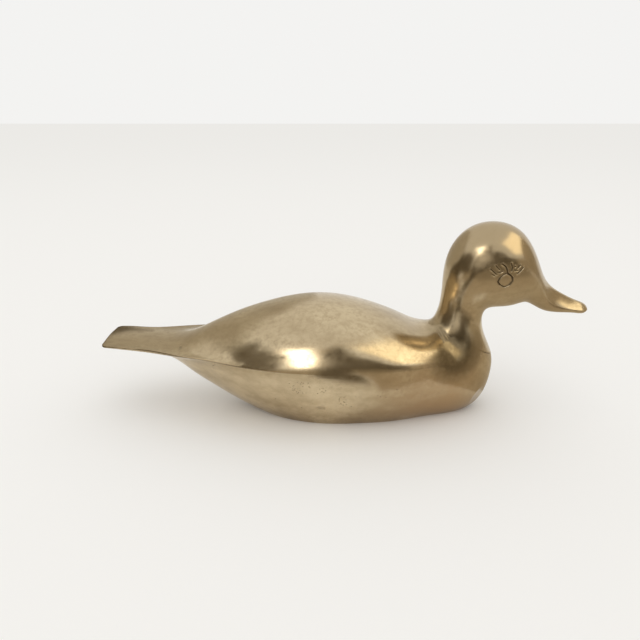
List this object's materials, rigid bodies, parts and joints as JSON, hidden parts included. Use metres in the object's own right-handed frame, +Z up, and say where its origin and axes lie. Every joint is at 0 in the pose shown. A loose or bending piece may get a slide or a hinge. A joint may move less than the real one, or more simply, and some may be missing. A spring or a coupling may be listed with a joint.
{
  "type": "brass duck figurine",
  "caption": "Hollow cast brass duck with a flat tail, a line along each flank and a brazed-on head, standing on its open rim.",
  "frame": {"origin": "on the surface that the duck stands on, under the middle of its length and width", "axes": "+X towards the bill, +Z up, +Y to the duck's left"},
  "size_m": [0.3, 0.088, 0.121],
  "materials": {
    "cast_brass": "polished and slightly aged",
    "braze_metal": "filed flush and polished"
  },
  "bodies": {
    "root": {"body_casting": "cast_brass", "head_casting": "cast_brass", "neck_braze": "braze_metal"}
  },
  "joints": []
}
